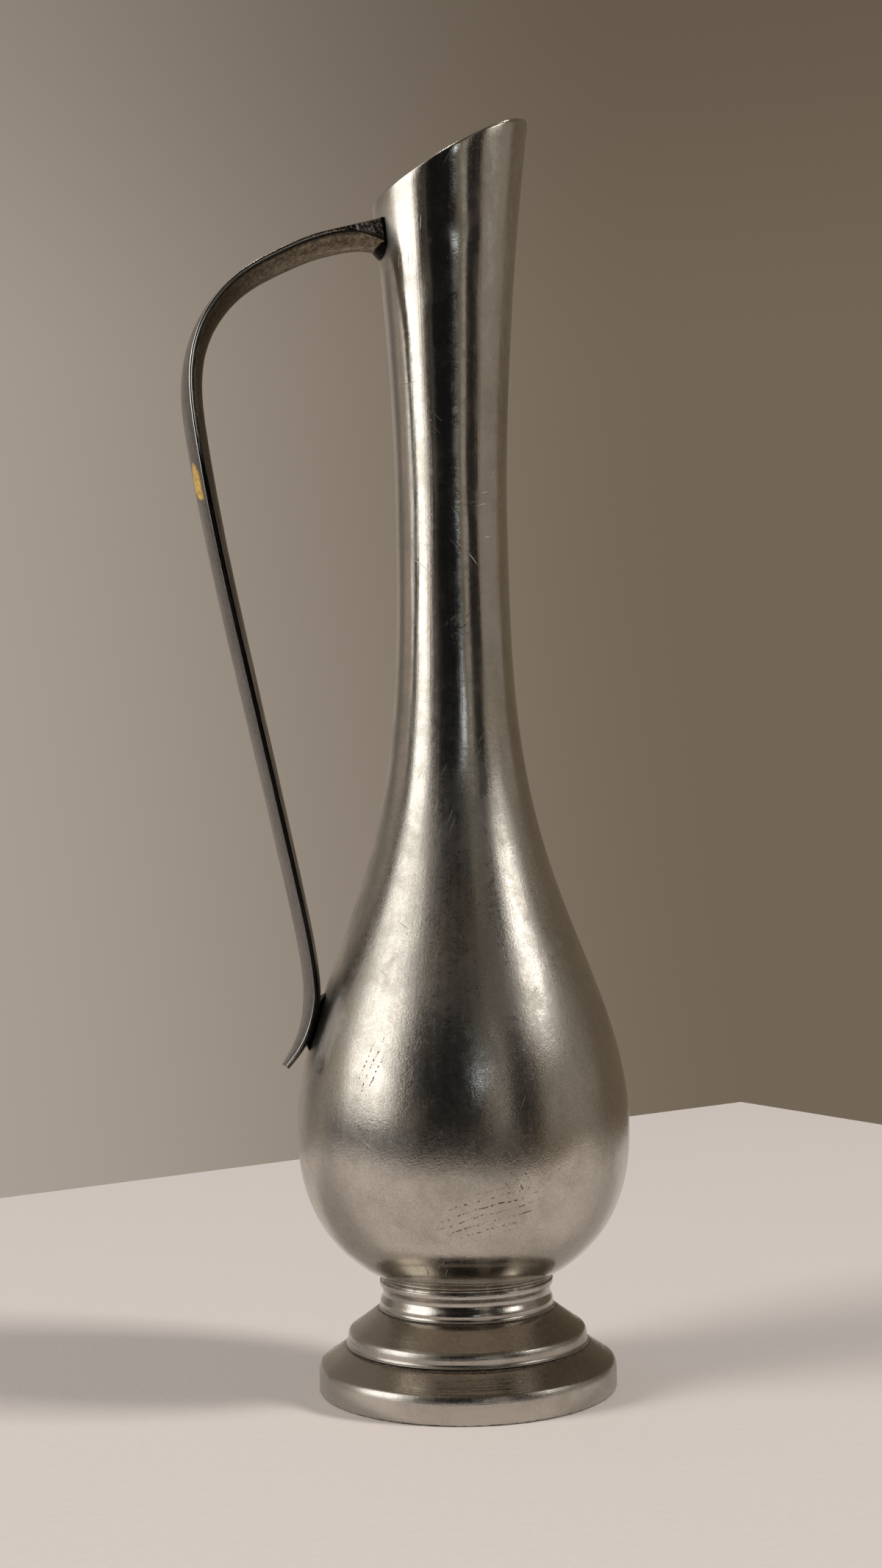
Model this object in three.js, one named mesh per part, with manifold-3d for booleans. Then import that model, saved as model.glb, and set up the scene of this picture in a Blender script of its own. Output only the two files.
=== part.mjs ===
// Pewter pitcher: a round bulb on a stepped foot, a long slender neck with an oblique lip, and a
// cast strap handle. Millimetres, +Z up. The origin is on the vessel's axis at the underside of
// the foot. The handle stands toward -X and the high side of the lip toward +X.
import * as THREE from "three";
import { mergeVertices } from "three/addons/utils/BufferGeometryUtils.js";
import Module from "manifold-3d";

const wasm = await Module();
wasm.setup();

// General
const seat_gap = 0.3; // clearance between two pieces that are soldered or seated together
const wall = 1.3; // sheet of the spun shells
const facets = 48; // flats round every turned piece

// Foot
const base_radius = 29;
const base_band_height = 3.6; // upright part of the lowest band, below its rounded corner
const lower_tier_height = 8.5;
const lower_corner_radius = 1.8;
const foot_edge_round = 0.4; // eased bottom edge that meets the table
const disc_thickness = 1.2;
const upper_tier_radius = 23.3;
const upper_band_height = 1.8; // upright part of the upper band, below its rounded corner
const upper_tier_height = 6.8;
const upper_corner_radius = 1.4;
const tier_ledge = 4; // how far the lower tier reaches in under the upper one
const collar_ledge = 6.2; // how far the upper tier reaches in under the collar

// Collar under the bowl: a bead below, a cove, and a narrow flange on top
const collar_radius = 16.95;
const collar_height = 5.6;
const bead_radius = 1.25;
const cove_depth = 0.95;
const flange_height = 0.6;
const collar_bore_radius = 12.5;

// Bowl, shoulder, neck and lip
const bowl_height = 29.3; // from its flat bottom to the widest point
const bowl_curve_tail = 2.7; // how far below the flat bottom the bowl's curve would close
const bowl_fullness = 2.3; // exponent of the bowl's curve: 2 is an ellipse, more is fuller
const bottom_thickness = 1.6;
const belly_radius = 32.7;
const shoulder_height = 119.5; // from the widest point up to the neck's waist
const shoulder_spread = 48.6; // how gently the shoulder falls in towards the neck
const waist_radius = 11.2;
const lip_back_rise = 65.2; // from the waist up to the low side of the lip, by the handle
const lip_rake = 17.8; // how much higher the pouring side of the lip stands
const lip_flare = 3.85; // growth of the radius from the waist to the low side of the lip
const flare_power = 1.8;

// Handle: a strap with a flat outer face, short sides and a keeled inner face
const handle_width = 9.9;
const handle_crown = 0.35; // how much the outer face bulges
const handle_root_drop = 5.3; // from the lip's low side down to the outer face at the neck
const handle_bow = 53.7; // furthest reach of the outer face from the axis
const handle_bow_drop = 42.5; // from the lip's low side down to the furthest reach
const handle_seat_rise = 26; // from the widest point of the bulb up to the lower seat
const seat_solder_thickness = 0.8; // solder left between the bulb and the strap at the lower seat
const handle_seat_length = 8.4; // stretch of the strap that lies along the bulb
const handle_tail_drop = 4.6; // from the foot of the lower seat down to the tail's tip
const handle_tail_curl = 3.1; // how far the tail's tip turns out from the foot of the seat
const seat_foot_share = 0.72; // depth of the strap at the foot of the seat, where it has begun to thin
const side_depth_top = 1.1; // depth of the strap's sides near the bow
const side_depth_seat = 0.8;
const keel_depth_top = 3.9; // full depth of the strap near the bow
const keel_depth_seat = 2.2;
const root_extra_side = 4.2; // how much the sides deepen where the strap meets the neck
const root_extra_keel = 2.4; // how much the keel deepens there
const root_length = 5.5; // stretch over which the root deepens
const tail_taper = 14; // stretch over which the tail thins to its tip
const tip_share = 0.42; // width and depth left at the very tip

// Solder
const solder_leg = 1.2; // each leg of a solder run inside the foot
const seam_solder_height = 4.4;
const seam_solder_thickness = 0.9;
const lower_solder_spare = 5; // how much longer the solder is than the strap's seat on the bulb
const lower_solder_width = 6.6;
const lower_solder_depth = 6; // the lump's full depth before the bulb and the strap are cut out of it
const root_solder_width = 7.4;
const root_solder_reach = 2.5; // how far the root's fillet runs out under the strap
const root_solder_drop = 2.4; // how far it runs down the neck

// Heights that follow from the sizes above
const lower_tier_top = lower_tier_height;
const upper_tier_bottom = lower_tier_top + seat_gap;
const upper_tier_top = lower_tier_top + upper_tier_height;
const collar_bottom = upper_tier_top + seat_gap;
const collar_top = upper_tier_top + collar_height;
const bowl_bottom = collar_top + seat_gap;
const belly_height = bowl_bottom + bowl_height;
const waist_height = belly_height + shoulder_height;
const lip_back_height = waist_height + lip_back_rise;
const lip_front_height = lip_back_height + lip_rake;

// Outer radius of the vessel at a height: a full curve below the belly, a bell curve above it that
// runs out into the neck, and a flare from the waist to the lip.
function bodyRadius(z) {
  if (z < belly_height) {
    const drop = (belly_height - z) / (bowl_height + bowl_curve_tail);
    return belly_radius * (1 - drop ** bowl_fullness) ** (1 / bowl_fullness);
  }
  const bell = Math.exp(-(((z - belly_height) / shoulder_spread) ** 2));
  const above = Math.max(0, z - waist_height) / lip_back_rise;
  return waist_radius + (belly_radius - waist_radius) * bell + lip_flare * above ** flare_power;
}

// The point of the vessel's wall at a height, moved square to the surface by a distance.
function bodyPoint(z, out = 0) {
  const step = 0.01;
  const slope = (bodyRadius(z + step) - bodyRadius(z)) / step;
  const length = Math.hypot(1, slope);
  return new THREE.Vector2(bodyRadius(z) + out / length, z - (out * slope) / length);
}

function spaced(from, to, count) {
  return Array.from({ length: count + 1 }, (_, i) => from + ((to - from) * i) / count);
}

function arcPoints(centre, radius, from, to, count) {
  return spaced(from, to, count).map(
    (a) => new THREE.Vector2(centre.x + radius * Math.cos(a), centre.y + radius * Math.sin(a)),
  );
}

// Angle on a circle at which a straight line to a point leaves it, on the outer side.
function tangentAngle(centre, radius, point) {
  const reach = point.clone().sub(centre);
  return reach.angle() - Math.acos(radius / reach.length());
}

// A profile of (radius, height) points turned round the Z axis. It closes on itself, or starts and
// ends on the axis, and its order is set so that faces point out.
function turned(points, closed = true) {
  const profile = closed ? [...points, points[0].clone()] : points;
  if (THREE.ShapeUtils.area(points) < 0) profile.reverse();
  return new THREE.LatheGeometry(profile, facets).rotateX(Math.PI / 2);
}

// Solid of revolution that fills the vessel's outline, moved out by a gap, between two heights.
function bodyFill(gap, from, to, count) {
  const outline = spaced(from, to, count).map((z) => new THREE.Vector2(bodyRadius(z) + gap, z));
  return solid(turned([new THREE.Vector2(0, from), ...outline, new THREE.Vector2(0, to)], false));
}

function solid(geometry) {
  const bare = geometry.clone();
  bare.deleteAttribute("normal");
  bare.deleteAttribute("uv");
  const merged = mergeVertices(bare, 1e-4);
  return new wasm.Manifold(
    new wasm.Mesh({
      numProp: 3,
      vertProperties: new Float32Array(merged.attributes.position.array),
      triVerts: new Uint32Array(merged.index.array),
    }),
  );
}

function geometryOf(body) {
  const mesh = body.getMesh();
  const geometry = new THREE.BufferGeometry();
  geometry.setAttribute("position", new THREE.BufferAttribute(new Float32Array(mesh.vertProperties), 3));
  geometry.setIndex(new THREE.BufferAttribute(new Uint32Array(mesh.triVerts), 1));
  geometry.computeVertexNormals();
  return geometry;
}

function largestPart(body) {
  return body.decompose().reduce((a, b) => (a.volume() >= b.volume() ? a : b));
}

const pewter = { color: 0x8b8780, roughness: 0.34, metalness: 1 };
const cast_pewter = { color: 0x7d7973, roughness: 0.36, metalness: 1 };
const dark_solder = { color: 0x3d3a36, roughness: 0.6, metalness: 0.8 };

const pitcher = new THREE.Group();
function addPiece(name, geometry, look) {
  const piece = new THREE.Mesh(geometry, new THREE.MeshStandardMaterial(look));
  piece.name = name;
  pitcher.add(piece);
}

// A spun tier of the foot: an upright band, a rounded corner, a straight slope in to where the
// next piece stands, and a flat ledge under that piece.
function tierProfile(radius, bottom, band, corner, top, top_radius, ledge, edge_round) {
  const centre = new THREE.Vector2(radius - corner, bottom + band);
  const shoulder = new THREE.Vector2(top_radius, top);
  const lean = tangentAngle(centre, corner, shoulder);
  const inner_corner = Math.max(corner - wall, 0.3);
  const inner_centre = new THREE.Vector2(radius - wall - inner_corner, bottom + band);
  const inner_shoulder = new THREE.Vector2(top_radius - wall * Math.cos(lean), top - wall);
  const inner_lean = tangentAngle(inner_centre, inner_corner, inner_shoulder);
  return [
    new THREE.Vector2(radius - wall, bottom),
    new THREE.Vector2(radius - edge_round, bottom),
    new THREE.Vector2(radius, bottom + edge_round),
    ...arcPoints(centre, corner, 0, lean, 5),
    shoulder,
    new THREE.Vector2(top_radius - ledge, top),
    new THREE.Vector2(top_radius - ledge, top - wall),
    inner_shoulder,
    ...arcPoints(inner_centre, inner_corner, inner_lean, 0, 2),
  ];
}

// A solder run of square section with one sloping side, in an inside corner of the foot.
function solderRun(outer_radius, bottom, rise) {
  return turned([
    new THREE.Vector2(outer_radius - solder_leg, bottom),
    new THREE.Vector2(outer_radius, bottom),
    new THREE.Vector2(outer_radius, bottom + rise),
    new THREE.Vector2(outer_radius - solder_leg / 3, bottom + rise),
  ]);
}

function addFoot() {
  const lower = tierProfile(
    base_radius,
    0,
    base_band_height,
    lower_corner_radius,
    lower_tier_top,
    upper_tier_radius + foot_edge_round,
    tier_ledge,
    foot_edge_round,
  );
  addPiece("foot_lower_tier", turned(lower), pewter);

  const upper = tierProfile(
    upper_tier_radius,
    upper_tier_bottom,
    upper_band_height,
    upper_corner_radius,
    upper_tier_top,
    collar_radius + foot_edge_round,
    collar_ledge,
    foot_edge_round / 2,
  );
  addPiece("foot_upper_tier", turned(upper), pewter);

  const disc_radius = base_radius - wall - seat_gap;
  const disc = [
    new THREE.Vector2(0, 0),
    new THREE.Vector2(disc_radius, 0),
    new THREE.Vector2(disc_radius, disc_thickness),
    new THREE.Vector2(0, disc_thickness),
  ];
  addPiece("base_disc", turned(disc, false), pewter);

  addPiece("disc_solder", solderRun(disc_radius, disc_thickness + seat_gap, solder_leg), dark_solder);
  const tier_solder_radius = upper_tier_radius - wall - seat_gap;
  addPiece("tier_solder", solderRun(tier_solder_radius, upper_tier_bottom, solder_leg), dark_solder);
  const collar_solder_radius = collar_bore_radius - seat_gap;
  addPiece("collar_solder", solderRun(collar_solder_radius, collar_bottom, solder_leg), dark_solder);
}

function addCollar() {
  const bead = new THREE.Vector2(collar_radius - bead_radius, collar_bottom + bead_radius);
  const cove_bottom = bead.y + bead_radius * 0.8;
  const cove_top = collar_top - flange_height;
  const half = (cove_top - cove_bottom) / 2;
  const cove_radius = (half * half + cove_depth * cove_depth) / (2 * cove_depth);
  const cove = new THREE.Vector2(collar_radius - cove_depth + cove_radius, cove_bottom + half);
  const spread = Math.asin(Math.min(1, half / cove_radius)) * 0.93;
  const profile = [
    new THREE.Vector2(collar_bore_radius, collar_bottom),
    ...arcPoints(bead, bead_radius, -Math.PI / 2, Math.PI / 4, 6),
    ...arcPoints(cove, cove_radius, Math.PI + spread, Math.PI - spread, 5),
    new THREE.Vector2(collar_radius, cove_top),
    new THREE.Vector2(collar_radius, collar_top),
    new THREE.Vector2(collar_bore_radius, collar_top),
  ];
  addPiece("foot_collar", turned(profile), pewter);
}

function addBowl() {
  const edge = belly_height - seat_gap / 2;
  // Closer rings near the bottom, where the bowl turns quickly.
  const heights = spaced(0, 1, 12).map((t) => bowl_bottom + (edge - bowl_bottom) * t ** 1.5);
  const floor_height = bowl_bottom + bottom_thickness;
  const inside = heights.map((z) => bodyPoint(z, -wall)).filter((p) => p.y > floor_height + 0.4);
  const floor_radius = inside[0].x - 1.2;
  const profile = [
    new THREE.Vector2(0, bowl_bottom),
    ...heights.map((z) => bodyPoint(z)),
    ...inside.slice(0, -1).concat(new THREE.Vector2(belly_radius - wall, edge)).reverse(),
    new THREE.Vector2(floor_radius, floor_height),
    new THREE.Vector2(0, floor_height),
  ];
  addPiece("lower_bowl", turned(profile, false), pewter);

  const ring_outer = belly_radius - wall - seat_gap;
  const ring_inner = ring_outer - seam_solder_thickness;
  const low = belly_height - seam_solder_height / 2;
  const high = belly_height + seam_solder_height / 2;
  const ring = [
    new THREE.Vector2(ring_inner, low + 1),
    new THREE.Vector2(ring_outer, low),
    new THREE.Vector2(ring_outer, high),
    new THREE.Vector2(ring_inner, high - 1),
  ];
  addPiece("belly_seam_solder", turned(ring), dark_solder);
}

function addUpperBody() {
  const edge = belly_height + seat_gap / 2;
  const spare = 6; // metal above the lip that the oblique cut takes away
  const top = lip_front_height + spare;
  const outside = [...spaced(edge, waist_height, 20), ...spaced(waist_height, top, 9).slice(1)];
  const inside = [...spaced(edge, waist_height, 11), ...spaced(waist_height, top, 5).slice(1)];
  const shell = solid(
    turned([
      ...outside.map((z) => bodyPoint(z)),
      ...inside.slice(1).map((z) => bodyPoint(z, -wall)).reverse(),
      new THREE.Vector2(belly_radius - wall, edge),
    ]),
  );

  const back = bodyRadius(lip_back_height);
  const front = bodyRadius(lip_front_height);
  const rake = Math.atan2(lip_rake, back + front);
  const side = 8 * (back + front);
  const cutter = new THREE.BoxGeometry(side, side, side)
    .translate(0, 0, side / 2)
    .rotateY(-rake)
    .translate(0, 0, lip_back_height + back * Math.tan(rake));
  addPiece("upper_body", geometryOf(shell.subtract(solid(cutter))), pewter);
}

// The line that the handle's outer face follows, in the plane y = 0, from the neck to the tail.
function handleRoute() {
  const root_height = lip_back_height - handle_root_drop;
  const seat_height = belly_height + handle_seat_rise;
  const bow_height = lip_back_height - handle_bow_drop;
  const root_reach = bodyRadius(root_height);
  const stand_off = seat_solder_thickness + 2 * seat_gap;
  const seat_reach = bodyRadius(seat_height) + stand_off + keel_depth_seat;
  const seat_foot_height = seat_height - handle_seat_length;
  const seat_foot_reach = bodyRadius(seat_foot_height) + stand_off + seat_foot_share * keel_depth_seat;
  const rise = bow_height - seat_height;
  const reach = handle_bow - seat_reach;
  const crest = root_height - bow_height;
  const run = handle_bow - root_reach;
  const stations = [
    [root_reach - wall, root_height + 0.4],
    [root_reach + 0.31 * run, root_height - 0.115 * crest],
    [root_reach + 0.57 * run, root_height - 0.245 * crest],
    [root_reach + 0.79 * run, root_height - 0.41 * crest],
    [root_reach + 0.935 * run, root_height - 0.64 * crest],
    [handle_bow, bow_height],
    [seat_reach + 0.93 * reach, seat_height + 0.87 * rise],
    [seat_reach + 0.72 * reach, seat_height + 0.68 * rise],
    [seat_reach + 0.41 * reach, seat_height + 0.42 * rise],
    [seat_reach + 0.13 * reach, seat_height + 0.165 * rise],
    [seat_reach, seat_height],
    [seat_foot_reach, seat_foot_height],
    [seat_foot_reach + handle_tail_curl, seat_foot_height - handle_tail_drop],
  ];
  return new THREE.CatmullRomCurve3(stations.map(([reach, z]) => new THREE.Vector3(-reach, 0, z)));
}

// The strap, lofted from sections set square to the route. Growing it by a gap gives the solid that
// cuts its clearance out of the solder.
function handleLoft(grow) {
  const route = handleRoute();
  const count = 44;
  const length = route.getLength();
  const vertices = [];
  for (let i = 0; i <= count; i += 1) {
    const u = i / count;
    const at = route.getPointAt(u);
    const along = route.getTangentAt(u);
    const inward = new THREE.Vector3(-along.z, 0, along.x);
    const from_root = u * length;
    const from_tip = (1 - u) * length;
    const taper = Math.min(1, tip_share + (1 - tip_share) * (from_tip / tail_taper) ** 0.8);
    const root = Math.exp(-((from_root / root_length) ** 2));
    const down = Math.min(1, u / 0.92);
    const side = THREE.MathUtils.lerp(side_depth_top, side_depth_seat, down) + root_extra_side * root;
    const keel = THREE.MathUtils.lerp(keel_depth_top, keel_depth_seat, down) + root_extra_keel * root;
    const half = (handle_width / 2) * taper + grow;
    const low = -grow;
    const section = [
      [low, -half],
      [low - handle_crown * taper, 0],
      [low, half],
      [side * taper + grow, half],
      [THREE.MathUtils.lerp(side, keel, 0.72) * taper + grow, half * 0.55],
      [keel * taper + grow, 0],
      [THREE.MathUtils.lerp(side, keel, 0.72) * taper + grow, -half * 0.55],
      [side * taper + grow, -half],
    ];
    for (const [depth, across] of section) {
      vertices.push(at.x + inward.x * depth, across, at.z + inward.z * depth);
    }
  }
  return loftSolid(vertices, count + 1, 8);
}

// Closes a loft of equal sections with faces that point out.
function loftSolid(vertices, rings, sides) {
  const triangles = [];
  for (let i = 0; i < rings - 1; i += 1) {
    for (let j = 0; j < sides; j += 1) {
      const a = i * sides + j;
      const b = i * sides + ((j + 1) % sides);
      triangles.push(a, b, a + sides);
      triangles.push(b, b + sides, a + sides);
    }
  }
  const last = (rings - 1) * sides;
  for (let j = 1; j < sides - 1; j += 1) {
    triangles.push(0, j + 1, j);
    triangles.push(last, last + j, last + j + 1);
  }
  const geometry = new THREE.BufferGeometry();
  geometry.setAttribute("position", new THREE.Float32BufferAttribute(vertices, 3));
  geometry.setIndex(triangles);
  return solid(geometry);
}

// Block that cuts the strap's end flat. The middle of the end then lies against the neck, and the
// neck curves away behind the end's two sides.
function buttBlock(height) {
  const slope = Math.atan(bodyRadius(height + 1) - bodyRadius(height));
  const side = 4 * handle_width;
  return solid(
    new THREE.BoxGeometry(side, side, side)
      .translate(side / 2, 0, 0)
      .rotateY(-slope)
      .translate(-bodyRadius(height) - seat_gap, 0, height),
  );
}

function addHandle() {
  const clearance = bodyFill(seat_gap, belly_height, lip_back_height, 40);
  const root_height = lip_back_height - handle_root_drop;
  const strap = handleLoft(0).subtract(clearance).subtract(buttBlock(root_height));
  addPiece("handle", geometryOf(largestPart(strap)), cast_pewter);

  const cut = handleLoft(seat_gap);
  const seat_middle = belly_height + handle_seat_rise - handle_seat_length / 2;
  const bed = bodyRadius(seat_middle) + seat_gap + seat_solder_thickness / 2;
  const lean = Math.atan((bodyRadius(seat_middle + 1) - bodyRadius(seat_middle - 1)) / 2);
  const lower = new THREE.SphereGeometry(0.5, 20, 14)
    .scale(lower_solder_depth, lower_solder_width, handle_seat_length + lower_solder_spare)
    .rotateY(-lean)
    .translate(-bed, 0, seat_middle);
  const lower_body = solid(lower).subtract(clearance).subtract(cut);
  addPiece("handle_lower_solder", geometryOf(largestPart(lower_body)), dark_solder);

  const underside = root_height - keel_depth_top - root_extra_keel;
  const neck = bodyRadius(underside) + seat_gap;
  const fillet = new THREE.Shape();
  fillet.moveTo(-neck + wall, root_height - side_depth_top);
  fillet.lineTo(-neck - root_solder_reach, root_height - side_depth_top);
  fillet.lineTo(-neck - root_solder_reach, underside);
  fillet.quadraticCurveTo(-neck, underside, -neck + wall, underside - root_solder_drop);
  const upper = new THREE.ExtrudeGeometry(fillet, {
    depth: root_solder_width,
    bevelEnabled: false,
    curveSegments: 8,
  })
    .rotateX(Math.PI / 2)
    .translate(0, root_solder_width / 2, 0);
  const upper_body = solid(upper).subtract(clearance).subtract(cut);
  addPiece("handle_top_solder", geometryOf(largestPart(upper_body)), dark_solder);
}

addFoot();
addCollar();
addBowl();
addUpperBody();
addHandle();

export default pitcher;
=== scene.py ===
import math

import bmesh
import bpy
import numpy as np
from mathutils import Matrix, Vector, noise


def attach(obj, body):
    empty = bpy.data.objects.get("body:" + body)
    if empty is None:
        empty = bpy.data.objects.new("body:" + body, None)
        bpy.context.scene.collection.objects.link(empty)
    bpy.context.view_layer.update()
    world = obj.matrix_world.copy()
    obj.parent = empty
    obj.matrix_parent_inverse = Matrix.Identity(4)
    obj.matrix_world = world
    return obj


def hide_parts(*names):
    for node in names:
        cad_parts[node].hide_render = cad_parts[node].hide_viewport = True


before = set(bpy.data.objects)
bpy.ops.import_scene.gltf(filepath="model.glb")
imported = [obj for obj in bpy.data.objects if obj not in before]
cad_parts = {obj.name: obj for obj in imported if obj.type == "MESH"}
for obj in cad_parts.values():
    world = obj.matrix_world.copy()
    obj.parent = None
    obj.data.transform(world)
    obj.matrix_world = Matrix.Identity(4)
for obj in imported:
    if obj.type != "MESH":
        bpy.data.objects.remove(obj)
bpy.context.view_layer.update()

MM = 0.001

# Sizes of the vessel, in millimetres, as in its solids
BASE_RADIUS = 29.0
LOWER_TOP = 8.5
UPPER_RADIUS = 23.3
UPPER_BOTTOM = 8.8
UPPER_TOP = 15.3
COLLAR_RADIUS = 16.95
COLLAR_BOTTOM = 15.6
COLLAR_TOP = 20.9
BOWL_BOTTOM = 21.2
BELLY_HEIGHT = 50.5
BELLY_RADIUS = 32.7
WAIST_HEIGHT = 170.0
WAIST_RADIUS = 11.2
LIP_BACK = 235.2
LIP_FRONT = 253.0
WALL = 1.3
HANDLE_WIDTH = 9.9

# The curve of the wall: how deep and full the bowl is, how wide the bell above it, how the neck flares
BOWL_DEPTH = 32.0
BOWL_FULLNESS = 2.3
BELL_SPREAD = 48.6
FLARE = 3.85
FLARE_CURVE = 1.8

# How far the lip's edge stands over a flat cut at its sides, and under it at its front and back
LIP_BOW = 0.32
LIP_DROP = 0.15

# Steps round the vessel and the foot, and the corner angles in degrees that stay crisp
TURNS = 192
STRAP_CREASE = 40
SOLDER_CREASE = 50


def clamp(value, low=0.0, high=1.0):
    return max(low, min(high, value))


def smooth(value, low, high):
    """A soft step from 0 at low to 1 at high."""
    t = clamp((value - low) / (high - low))
    return t * t * (3 - 2 * t)


def body_radius(z):
    """The outer radius of the vessel at a height."""
    if z < BELLY_HEIGHT:
        drop = clamp((BELLY_HEIGHT - z) / BOWL_DEPTH, 0, 0.9999)
        return BELLY_RADIUS * (1 - drop**BOWL_FULLNESS) ** (1 / BOWL_FULLNESS)
    bell = math.exp(-(((z - BELLY_HEIGHT) / BELL_SPREAD) ** 2))
    above = max(0.0, z - WAIST_HEIGHT) / (LIP_BACK - WAIST_HEIGHT)
    return WAIST_RADIUS + (BELLY_RADIUS - WAIST_RADIUS) * bell + FLARE * above**FLARE_CURVE


def mesh_object(name, vertices, faces):
    """A linked object, from points in millimetres."""
    data = bpy.data.meshes.new(name)
    data.from_pydata([(x * MM, y * MM, z * MM) for x, y, z in vertices], [], faces)
    data.validate()
    piece = bpy.data.objects.new(name, data)
    bpy.context.scene.collection.objects.link(piece)
    return piece


def finish_mesh(piece, sharp=None):
    """Merges doubled points, turns the faces outward and shades them smooth."""
    work = bmesh.new()
    work.from_mesh(piece.data)
    bmesh.ops.remove_doubles(work, verts=work.verts, dist=1e-7)
    bmesh.ops.recalc_face_normals(work, faces=work.faces)
    for face in work.faces:
        face.smooth = True
    if sharp is not None:
        for edge in work.edges:
            if len(edge.link_faces) == 2 and edge.calc_face_angle() > math.radians(sharp):
                edge.smooth = False
    work.to_mesh(piece.data)
    work.free()
    piece.data.update()
    return piece


def lathe(name, profile):
    """A closed profile of (radius, height) points turned round the vessel's axis."""
    vertices, faces = [], []
    size = len(profile)
    for k in range(TURNS):
        angle = 2 * math.pi * k / TURNS
        for radius, z in profile:
            vertices.append((radius * math.cos(angle), radius * math.sin(angle), z))
    for k in range(TURNS):
        after = (k + 1) % TURNS
        for j in range(size):
            up = (j + 1) % size
            faces.append((k * size + j, after * size + j, after * size + up, k * size + up))
    return finish_mesh(mesh_object(name, vertices, faces))


# The vessel's skin


def lip_height(x, y):
    """The raked lip, a little higher along its middle than a flat cut."""
    back = body_radius(LIP_BACK)
    front = body_radius(LIP_FRONT)
    slope = (LIP_FRONT - LIP_BACK) / (back + front)
    across = clamp(abs(x) / front)
    return LIP_BACK + (x + back) * slope + LIP_BOW * (1 - across**2) - LIP_DROP * across**4


DENTS = [
    # angle round the axis in degrees, height, spread along the wall, depth; all small knocks
    (-100, 226.0, 3.2, 0.16),
    (-134, 214.0, 3.5, 0.20),
    (-75, 172.0, 2.4, 0.07),
    (-95, 118.0, 4.0, 0.10),
    (-60, 92.0, 5.0, 0.10),
    (-120, 66.0, 6.0, 0.12),
    (20, 140.0, 5.0, 0.12),
    (75, 60.0, 8.0, 0.16),
    (130, 105.0, 5.0, 0.10),
]


def wobble(angle, z):
    """How far the old, handled wall lies inside its true surface."""
    soft_depth, fine_depth = 0.09, 0.022
    x, y = math.cos(angle) * 1.3, math.sin(angle) * 1.3
    soft = noise.noise(Vector((x * 1.2, y * 1.2, z * 0.028)))
    fine = noise.noise(Vector((x * 4.5 + 9, y * 4.5, z * 0.085)))
    inward = soft_depth * (soft + 0.9) + fine_depth * (fine + 0.9)
    radius = body_radius(z)
    for azimuth, height, spread, depth in DENTS:
        turn = (angle - math.radians(azimuth) + math.pi) % (2 * math.pi) - math.pi
        far = math.hypot(turn * radius, z - height) / spread
        inward += depth * math.exp(-(far**2))
    return inward


def wall_point(angle, z, depth):
    """A point on the wall at a height, moved inward along the wall's own normal."""
    step = 0.05
    slope = (body_radius(z + step) - body_radius(z - step)) / (2 * step)
    length = math.hypot(1, slope)
    radius = body_radius(z) - depth / length
    return radius * math.cos(angle), radius * math.sin(angle), z + depth * slope / length


def make_vessel():
    """One skin up the outside, over the lip and down the inside to the floor."""
    # the rows lie level up to this height, and follow the raked lip above it
    split = 204.0
    bowl_rows, bell_rows, neck_rows, lip_rows = 22, 72, 20, 10
    bowl = BELLY_HEIGHT - BOWL_BOTTOM
    low_heights = [BOWL_BOTTOM + bowl * (k / bowl_rows) ** 1.45 for k in range(bowl_rows)]
    mid_heights = [BELLY_HEIGHT + (split - BELLY_HEIGHT) * k / bell_rows for k in range(bell_rows + 1)]
    # a height near the lip's middle, the flat under the bowl, and the floor inside it
    lip_guess = 244
    flat_radius, floor_radius = 11, 17.5
    floor_clear = 3.2
    half = WALL / 2
    vertices, faces = [], []
    for k in range(TURNS):
        angle = 2 * math.pi * k / TURNS
        radius = body_radius(lip_guess)
        top = lip_height(radius * math.cos(angle), radius * math.sin(angle))
        radius = body_radius(top)
        top = lip_height(radius * math.cos(angle), radius * math.sin(angle))
        rise = [split + (top - half - split) * j / neck_rows for j in range(1, neck_rows + 1)]
        column = [(0.0, 0.0, BOWL_BOTTOM)]
        column.append((flat_radius * math.cos(angle), flat_radius * math.sin(angle), BOWL_BOTTOM))
        for z in low_heights + mid_heights + rise:
            column.append(wall_point(angle, z, wobble(angle, z)))
        edge = wobble(angle, top)
        for j in range(1, lip_rows):
            turn = math.pi * j / lip_rows
            depth = edge + half - half * math.cos(turn)
            column.append(wall_point(angle, top - half + half * math.sin(turn), depth))
        floor = [z for z in low_heights if z > BOWL_BOTTOM + floor_clear]
        for z in reversed(floor[::2] + mid_heights[2::4] + rise[1::2]):
            column.append(wall_point(angle, z, WALL + edge))
        column.append((floor_radius * math.cos(angle), floor_radius * math.sin(angle), BOWL_BOTTOM + 1.7))
        column.append((0.0, 0.0, BOWL_BOTTOM + 1.6))
        size = len(column)
        vertices.extend(column)
    for k in range(TURNS):
        after = (k + 1) % TURNS
        for j in range(size - 1):
            faces.append((k * size + j, after * size + j, after * size + j + 1, k * size + j + 1))
    return finish_mesh(mesh_object("vessel_skin", vertices, faces))


# The foot


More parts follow.
